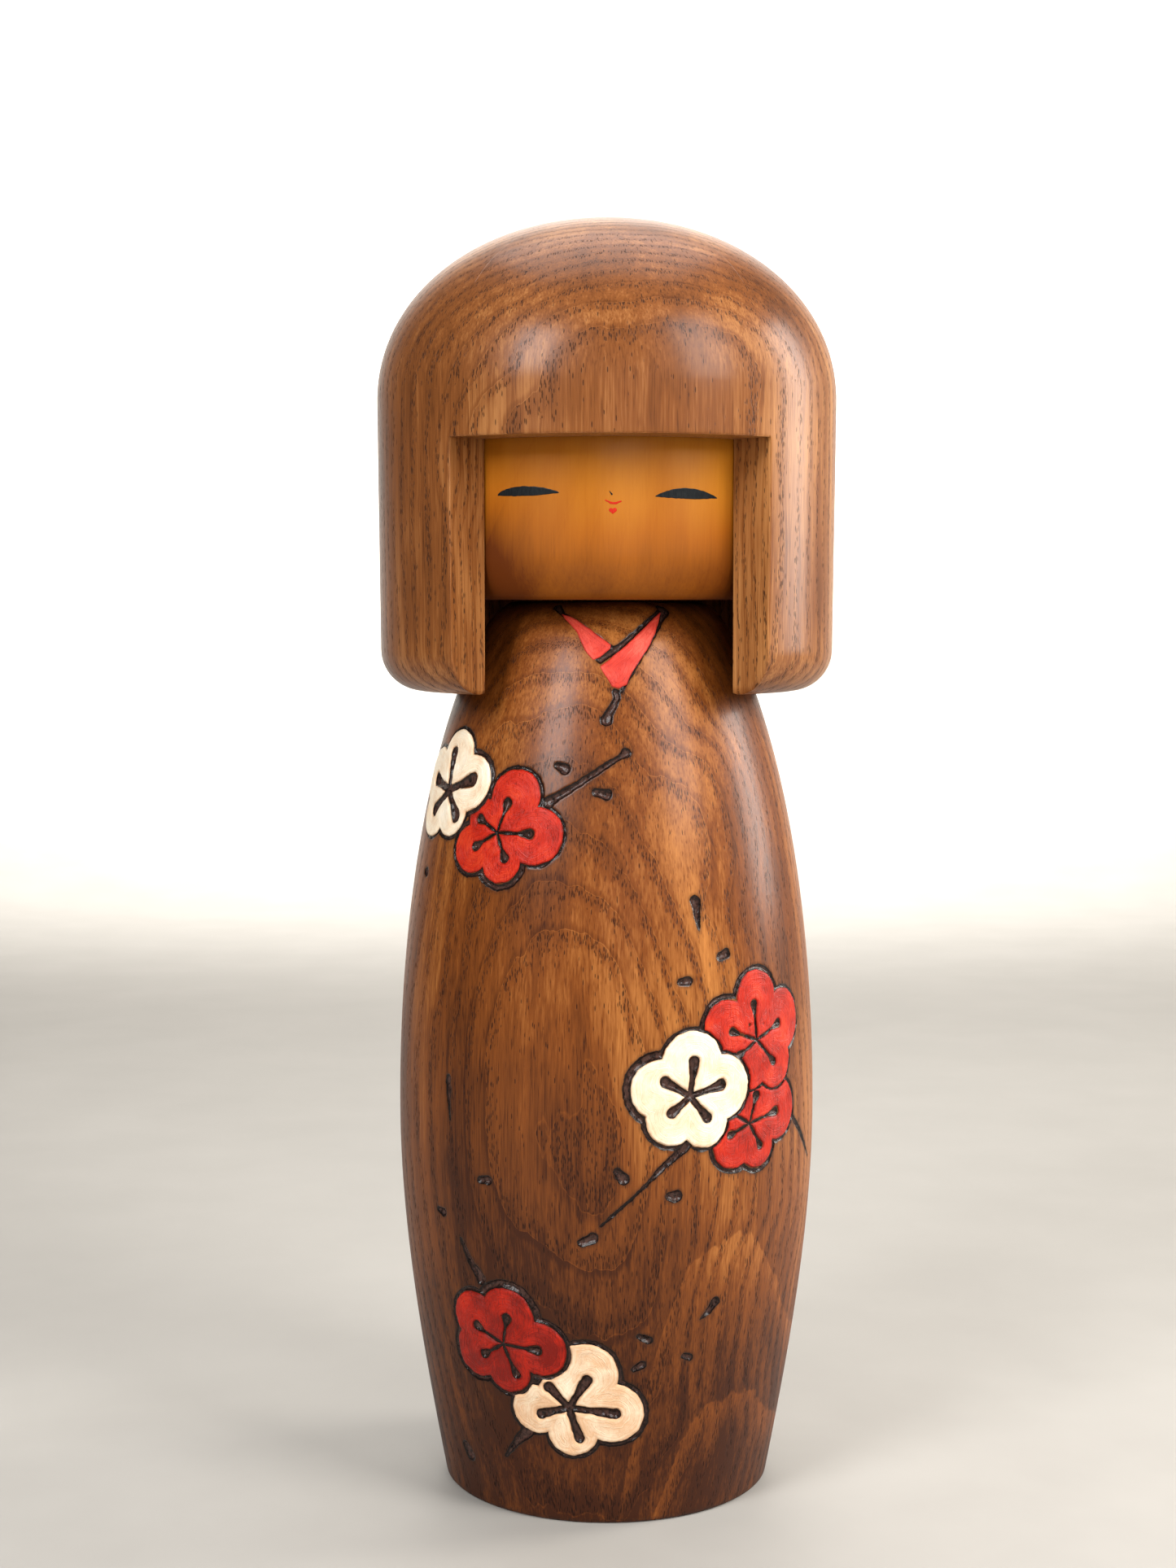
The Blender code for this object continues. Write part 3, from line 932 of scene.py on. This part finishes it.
# The head: a drum of pale, fine-grained wood, stained honey and varnished, turned with a rounded
# chin. It sits in the hair with the peg glued into its underside.
head_low, head_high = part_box("head")
HEAD_RADIUS = head_high.x / MM
CHIN_Z, HEAD_TOP = head_low.z / MM, head_high.z / MM
CHIN_INSET, CHIN_ROUND = 4.6, 9.0
HEAD_EDGE = 0.8
BORE_ABOVE_SEAT = 25.0
HEAD_BORE_END = BODY_HEIGHT + BORE_ABOVE_SEAT
HEAD_ROWS, HEAD_COLUMNS = 70, 256

head_corner = (HEAD_RADIUS - HEAD_EDGE, HEAD_TOP - HEAD_EDGE)
head_outline = np.vstack(
    [
        [(0, HEAD_BORE_END), (BORE_RADIUS, HEAD_BORE_END), (BORE_RADIUS, CHIN_Z)],
        arc(
            (HEAD_RADIUS - CHIN_INSET, CHIN_Z + CHIN_ROUND), (CHIN_INSET, CHIN_ROUND), -90, 0, 24
        ),
        arc(head_corner, (HEAD_EDGE, HEAD_EDGE), 0, 90, 6),
        [(0, HEAD_TOP)],
    ]
)
face_wood = turned_wood(
    "face_wood",
    (tint(86, 38, 3), tint(152, 84, 14), tint(184, 116, 30)),
    pith=(-60.0, 70.0),
    lean=(0.5, -0.4),
    ring=5.0,
    sway=6.0,
    pores=0.0,
    streaks=0.22,
    gloss=0.36,
    polish=(0.12, 0.34),
    # Painted shade darkens the chin and its corners, and painted light makes the right of the face
    # paler.
    shade=(209.0, 187.0, 0.4, 40.0),
    sapwood_and_lit_side=(-20.0, 20.0, 0.12),
)
head_along = lengths(head_outline)
knots = np.unique(np.concatenate([np.linspace(0, head_along[-1], HEAD_ROWS + 1), head_along]))
head_line = np.stack([np.interp(knots, head_along, axis) for axis in head_outline.T], axis=1)
turn = np.arange(HEAD_COLUMNS) * 360 / HEAD_COLUMNS
rings = turned_points(turn, head_line[1:-1, :1], head_line[1:-1, 1:] + 0 * turn)
points = np.vstack([rings.reshape(-1, 3), (0, 0, HEAD_BORE_END), (0, 0, HEAD_TOP)])
faces = turned_faces(len(rings), HEAD_COLUMNS)
new_piece("head_wood", points, faces, face_wood, "head", replaces=["head"])


# The face: eyes as closed lids in slate ink, a small nose tick, and the mouth and lower lip in
# red, all drawn with a fine brush straight on the varnish.
EYE_REACH, MOUTH_REACH, MARK_UP = 7.5, 2.5, 2.6
face_height = np.linspace(CHIN_Z + CHIN_ROUND, HEAD_TOP - HEAD_EDGE, 200)
face_side = Side(np.stack([np.full(200, HEAD_RADIUS), face_height], axis=1))


def ink(name, colour, thin):
    """Brushed ink: the brush's hairs leave upright streaks, through which the wood's tone shows."""
    look = Look(name)
    hairs = look.noise((0.22, 0.22, 1.4), 3.0, 0.65)
    colour = look.ramp(hairs, [(0.3, colour), (0.75, thin)])
    return look.finish(
        Base_Color=colour,
        Roughness=0.4 + (hairs - 0.5) * 0.2,
        Normal=look.dented(hairs, 0.02),
        Specular_IOR_Level=0.12,
        Coat_Weight=0.08,
        Coat_Roughness=0.22,
    )


slate_ink = ink("slate_ink", tint(6, 10, 13), tint(30, 34, 36))
red_ink = ink("red_ink", tint(168, 22, 12), tint(188, 44, 20))


def eye(across, up, lid):
    """Distance to a lid: the space between an upper arch, rise high, and a lower line that sags by
    drop, both sines over the length. It is tipped by slant, the arch leans to one side, and the
    smaller the power full, the flatter its top."""
    slant, length, rise, drop, lean, full = lid
    up = up + slant * across
    share = np.clip(across / length + 0.5, 0, 1)
    top = rise * np.sin(np.pi * share**lean) ** full
    low = -drop * np.sin(np.pi * share)
    beyond = np.abs(across) - length / 2
    return np.maximum(np.maximum(up - top, low - up) * 0.9 - 0.05, beyond)


# Brush lines as knots (across, up, half width), and the numbers of each lid.
MOUTH = ((-1.5, 0.4, 0.1), (-0.45, -0.15, 0.24), (0.5, -0.2, 0.24), (1.5, 0.2, 0.12))
LOWER_LIP = ((-0.36, 0.2, 0.42), (0.0, -0.4, 0.16), (0.36, 0.2, 0.42))
NOSE = ((-0.35, 0.45, 0.08), (0.1, -0.15, 0.2))
RIGHT_LID = (0.01, 13.6, 1.72, 0.3, 0.96, 0.85)
LEFT_LID = (-0.02, 13.4, 1.5, 0.3, 0.84, 0.66)
# Each mark: where its middle is (angle, height), its shape with that shape's own numbers, its ink
# and its slot.
FACE_MARKS = {
    "eye_right_side": ((24.4, 204.9), eye, RIGHT_LID, slate_ink, "ink"),
    "eye_left_side": ((-25.9, 205.5), eye, LEFT_LID, slate_ink, "ink"),
    "nose": ((0.4, 205.5), brush_line, NOSE, slate_ink, "ink"),
    "mouth": ((1.0, 203.8), brush_line, MOUTH, red_ink, "red_paint"),
    "lower_lip": ((0.9, 202.1), brush_line, LOWER_LIP, red_ink, "red_paint"),
}

for name, (middle, shape, numbers, material, slot) in FACE_MARKS.items():

    def inside(angle, along, middle=middle, shape=shape, numbers=numbers):
        across, up = face_side.flat(middle, angle, along)
        return shape(across, up, numbers) + 0.05 * wobble(across, up, 0.5, 41)

    reach = EYE_REACH if shape is eye else MOUTH_REACH
    span = (-reach, reach, -MARK_UP, MARK_UP)
    paint_film(name, face_side, middle, span, inside, INK_COAT, material, "head")


# The hair: a hollow bell of the same stained wood as the body, turned inside and out, with a
# notch sawn out for the face: two cuts towards the axis and a level one for the fringe. The
# sawn edges are only just broken, and the bell is glued over the head.
hair_low, hair_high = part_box("hair")
HAIR_RADIUS, HAIR_TOP, RIM_Z = hair_high.x / MM, hair_high.z / MM, hair_low.z / MM
GLUE_GAP, FACE_HEIGHT = 0.3, 31.4
CAVITY_RADIUS, ROOF_Z = HEAD_RADIUS + GLUE_GAP, HEAD_TOP + GLUE_GAP
FRINGE_Z = CHIN_Z + FACE_HEIGHT
DOME_HEIGHT, DOME_POWER = 37.6, 2.07
DOME_Z = HAIR_TOP - DOME_HEIGHT
RIM_TUCK, RIM_ROUND, RIM_LIP = 0.5, 8.5, 0.4
NOTCH_HALF, EDGE_ROUND = 41.0, 0.4
HAIR_STEP, ROOF_STEP, LIP_STEP = 1.3, 4, 0.3
INSIDE_COLUMNS, OUTSIDE_COLUMNS = 54, 178
OUTSIDE_SLACK = 0.3


def run(start, end, step):
    """Points from start to end, without the last, about a step apart."""
    start, end = np.array(start, float), np.array(end, float)
    count = max(1, round(np.hypot(*(end - start)) / step))
    return start + (end - start) * np.arange(count)[:, None] / count


rim_radius, rim_middle = HAIR_RADIUS - RIM_TUCK, RIM_Z + RIM_ROUND
dome_turn = np.radians(np.linspace(0, 90, 64)[1:])
fringe_share = (FRINGE_Z - RIM_Z - RIM_ROUND) / (DOME_Z - RIM_Z - RIM_ROUND)
fringe_radius = rim_radius + RIM_TUCK * fringe_share
near = EDGE_ROUND * np.array([1.0, 0.66, 0.33])
hair_inner = np.vstack(
    [
        run((0, ROOF_Z), (CAVITY_RADIUS, ROOF_Z), ROOF_STEP),
        run((CAVITY_RADIUS, ROOF_Z), (CAVITY_RADIUS, FRINGE_Z + EDGE_ROUND), HAIR_STEP),
        np.stack([np.full(3, CAVITY_RADIUS), FRINGE_Z + near], axis=1),
    ]
)
hair_lower = np.vstack(
    [
        run((CAVITY_RADIUS, FRINGE_Z), (CAVITY_RADIUS, RIM_Z + RIM_LIP), HAIR_STEP),
        run((CAVITY_RADIUS, RIM_Z + RIM_LIP), (CAVITY_RADIUS + RIM_LIP, RIM_Z), LIP_STEP),
        arc((rim_radius - RIM_ROUND, rim_middle), (RIM_ROUND, RIM_ROUND), -90, 0, 16)[:-1],
        run((rim_radius, rim_middle), (fringe_radius, FRINGE_Z), HAIR_STEP),
        [(fringe_radius, FRINGE_Z)],
    ]
)
hair_outer = np.vstack(
    [
        np.stack([np.full(3, fringe_radius), FRINGE_Z + near[::-1]], axis=1),
        run((fringe_radius, FRINGE_Z + EDGE_ROUND + 0.6), (HAIR_RADIUS, DOME_Z), HAIR_STEP),
        np.stack(
            [
                HAIR_RADIUS * np.cos(dome_turn) ** (2 / DOME_POWER),
                DOME_Z + DOME_HEIGHT * np.sin(dome_turn) ** (2 / DOME_POWER),
            ],
            axis=1,
        ),
    ]
)
hair_outer[-1] = (0, HAIR_TOP)
# The full outline runs through the locks, and the short one stops at the fringe.
full = np.vstack([hair_inner, hair_lower, hair_outer])
lower = slice(len(hair_inner), len(hair_inner) + len(hair_lower))
share = lengths(hair_lower) / lengths(hair_lower)[-1]
short = full.copy()
short[lower, 0] = CAVITY_RADIUS + share * (fringe_radius - CAVITY_RADIUS)
short[lower, 1] = FRINGE_Z


def broken(distance):
    """How far an edge's rounding has moved a face at a distance from the edge: the face first
    starts 0.293 of the radius further in, then follows the circle back to where it was."""
    moved = EDGE_ROUND * 0.293 + np.clip(distance, 0, EDGE_ROUND) * 0.707
    depth = EDGE_ROUND - np.sqrt(EDGE_ROUND**2 - (EDGE_ROUND - moved) ** 2)
    return moved - np.clip(distance, 0, EDGE_ROUND), np.where(distance < EDGE_ROUND, depth, 0)


# The level cut's two edges are broken in the short outline, which the notch's columns follow.
for end, sign in ((lower.start, 1), (lower.stop - 1, -1)):
    over = slice(end - 3, end + 1) if sign > 0 else slice(end, end + 4)
    shift, depth = broken(np.abs(short[over, 1] - FRINGE_Z))
    short[over] += np.stack([sign * depth, shift], axis=1)
    under = np.abs(short[lower, 0] - (CAVITY_RADIUS if sign > 0 else fringe_radius))
    _, raised = broken(under)
    raised[0 if sign > 0 else -1] = 0
    short[lower, 1] += raised

edge_steps = np.degrees(np.array([0.0, 0.15, 0.3, 0.55, 1.0]) / HAIR_RADIUS)


def closer_ends(start, end, count):
    """Evenly spaced angles between two cuts, with the small edge_steps at both ends."""
    middle = np.linspace(start + edge_steps[-1], end - edge_steps[-1], count)
    return np.concatenate([start + edge_steps[:-1], middle, end - edge_steps[:-1][::-1]])


inside_turn = closer_ends(-NOTCH_HALF, NOTCH_HALF, INSIDE_COLUMNS)
outside_turn = closer_ends(NOTCH_HALF, 360 - NOTCH_HALF, OUTSIDE_COLUMNS)
cut_share = np.array(
    [0.015, 0.04, 0.08, 0.14, 0.22, 0.31, 0.41, 0.52, 0.63, 0.74, 0.84, 0.92, 0.97]
)

columns = [(turn, short) for turn in inside_turn]
columns += [(NOTCH_HALF, short + s * (full - short)) for s in cut_share]
columns += [(turn, full) for turn in outside_turn]
columns += [(-NOTCH_HALF, full + s * (short - full)) for s in cut_share]
turn = np.array([column[0] for column in columns])[None, :]
line = np.stack([column[1] for column in columns], axis=1)
radius, height = line[..., 0].copy(), line[..., 1].copy()
shape = radius.shape

# The upright edges: the wall's faces near a cut, and the cut's faces near the wall.
FRINGE, CUT, WALL = 0, 1, 2
column_counts = [len(inside_turn), len(cut_share), len(outside_turn), len(cut_share)]
kind = np.repeat([FRINGE, CUT, WALL, CUT], column_counts)[None, :]
below = np.zeros(shape, bool)
below[lower.start + 1 : lower.stop - 1] = True
from_cut = np.radians(np.minimum(turn - NOTCH_HALF, 360 - NOTCH_HALF - turn)) * radius
shift, depth = broken(from_cut)
on_wall = below & (kind == WALL) & (from_cut < EDGE_ROUND)
towards = np.where(np.arange(shape[0])[:, None] < (lower.start + lower.stop) // 2, 1.0, -1.0)
is_rim = (height < RIM_Z + 0.9 * RIM_ROUND) & (radius > CAVITY_RADIUS + 0.01)
out_r = np.where(is_rim, (radius - rim_radius + RIM_ROUND) / RIM_ROUND, -towards)
out_z = np.where(is_rim, (height - RIM_Z - RIM_ROUND) / RIM_ROUND, 0.0)
side_sign = np.where(turn > 180, -1.0, 1.0)
turn_out = turn + np.where(on_wall, side_sign * np.degrees(shift / np.maximum(radius, 1)), 0)
radius_out = radius - np.where(on_wall, depth * out_r, 0)
height_out = height - np.where(on_wall, depth * out_z, 0)
rim_gap = RIM_ROUND - np.hypot(radius - rim_radius + RIM_ROUND, height - RIM_Z - RIM_ROUND)
wall_gap = np.minimum(radius - CAVITY_RADIUS, HAIR_RADIUS - OUTSIDE_SLACK - radius)
gap = np.where(
    (height < RIM_Z + RIM_ROUND) & (radius > rim_radius - RIM_ROUND),
    rim_gap,
    np.minimum(wall_gap, height - RIM_Z),
)
_, cut_depth = broken(np.maximum(gap, 0))
on_cut = below & (kind == CUT)
cut_sign = np.where(turn < 0, -1.0, 1.0)
turn_out = turn_out + np.where(
    on_cut, cut_sign * np.degrees(cut_depth / np.maximum(radius, 1)), 0
)

sawn = np.where(on_cut | (below & (kind == FRINGE)), 1.0, 0.0)[1:-1].ravel()
points = turned_points(turn_out, radius_out, height_out)[1:-1].reshape(-1, 3)
points = np.vstack([points, (0, 0, ROOF_Z), (0, 0, HAIR_TOP)])
hair_wood = turned_wood(
    "hair_wood",
    (tint(70, 36, 14), tint(120, 69, 31), tint(178, 122, 70)),
    pith=(-6.0, 62.0),
    lean=(0.0, -0.03),
    ring=2.3,
    sway=7.0,
    pores=0.9,
    streaks=1.0,
    gloss=0.38,
    polish=(0.15, 0.2),
    # The right side is paler, partly paler wood and partly painted light.
    sapwood_and_lit_side=(26.0, 48.0, 0.14),
    figure=((-23, 213, 14, 17, 2.6), (30, 214, 16, 40, 1.6)),
)
hair = new_piece(
    "hair_wood",
    points,
    turned_faces(shape[0] - 2, shape[1]),
    hair_wood,
    "head",
    replaces=["hair"],
    values={"sawn": np.concatenate([sawn, [1.0, 0.0]])},
)
hair.data.set_sharp_from_angle(angle=math.radians(50))


# The peg: a plain hardwood dowel, glued into the head and turning stiffly in the body's bore.
# Its frame shape stays, and it is left unvarnished.
bare_wood = turned_wood(
    "bare_wood",
    (tint(168, 132, 92), tint(200, 166, 122), tint(222, 194, 154)),
    pith=(30.0, 40.0),
    lean=(0, 0),
    ring=2.2,
    sway=2.0,
    pores=0.3,
    streaks=0.8,
    gloss=0.62,
    polish=(0.3, 0.0),
)
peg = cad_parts["neck_peg"]
peg.data.materials.clear()
peg.data.materials.append(bare_wood)


# The studio: a pale floor that curves up into a backdrop, broad lights on each side of the doll,
# low in front of it and over it.
FLOOR_HALF, SWEEP_START, SWEEP_RADIUS, WALL_TOP = 2.5, 0.9, 0.6, 2.2


def studio_sweep():
    """The floor's profile, from in front of the doll to the foot of the wall, round a quarter
    circle and up, carried sideways."""
    curve = arc((SWEEP_START, SWEEP_RADIUS), (SWEEP_RADIUS, SWEEP_RADIUS), -90, 0, 24)
    line = np.vstack([(-FLOOR_HALF, 0.0), curve, (SWEEP_START + SWEEP_RADIUS, WALL_TOP)])
    left = np.column_stack([np.full(len(line), -FLOOR_HALF), line])
    right = np.column_stack([np.full(len(line), FLOOR_HALF), line])
    index = np.arange(len(line) - 1)
    faces = np.stack([index, index + len(line), index + len(line) + 1, index + 1], axis=1)
    mesh = bpy.data.meshes.new("studio_floor")
    mesh.from_pydata(np.vstack([left, right]).tolist(), [], faces.tolist())
    mesh.shade_smooth()
    return mesh


floor_look = Look("studio_paper")
floor_grain = floor_look.noise((40, 40, 40), 3.0, 0.5)
mesh = studio_sweep()
mesh.materials.append(
    floor_look.finish(
        Base_Color=floor_look.ramp(
            floor_grain, [(0.3, tint(160, 156, 150)), (0.7, tint(166, 162, 156))]
        ),
        Roughness=0.6 + (floor_grain - 0.5) * 0.1,
        Specular_IOR_Level=0.3,
    )
)
floor = bpy.data.objects.new("studio_floor", mesh)
bpy.context.scene.collection.objects.link(floor)


def softbox(name, round_degrees, up_degrees, distance, size, watts, colour):
    """A rectangular light that faces the doll's middle from an angle round it and above it."""
    light = bpy.data.lights.new(name, "AREA")
    light.shape = "RECTANGLE"
    light.size, light.size_y = size
    light.energy = watts
    light.color = colour
    lamp = bpy.data.objects.new(name, light)
    bpy.context.scene.collection.objects.link(lamp)
    a, e = math.radians(round_degrees), math.radians(up_degrees)
    back = Vector((math.sin(a) * math.cos(e), -math.cos(a) * math.cos(e), math.sin(e)))
    lamp.location = Vector((0, 0, 0.15)) + back * distance
    lamp.rotation_euler = back.to_track_quat("Z", "Y").to_euler()
    return lamp


softbox("window_right", 50, 32, 0.85, (0.32, 0.56), 7.6, (1.0, 0.985, 0.96))
softbox("window_behind", 104, 18, 0.9, (0.3, 0.6), 8.5, (1.0, 0.97, 0.92))
softbox("window_left", -38, 32, 0.85, (0.26, 0.4), 6.5, (0.98, 0.99, 1.0))
softbox("ceiling", 180, 72, 0.9, (0.7, 0.7), 5.0, (1.0, 1.0, 1.0))
fill = softbox("front", 10, 12, 1.2, (0.6, 0.4), 4.5, (1.0, 0.99, 0.97))
fill.visible_glossy = False

wall_light = softbox("wall_light", 0, 0, 1.0, (0.8, 0.4), 44.0, (1.0, 0.995, 0.98))
wall_light.location = (0, 0.6, 1.3)
wall_light.rotation_euler = (math.radians(56), 0, 0)
wall_light.data.spread = math.radians(110)

world = bpy.data.worlds.new("studio_air")
bpy.context.scene.world = world
world.use_nodes = True
world.node_tree.nodes["Background"].inputs["Color"].default_value = (1.0, 0.99, 0.98, 1.0)
world.node_tree.nodes["Background"].inputs["Strength"].default_value = 0.12
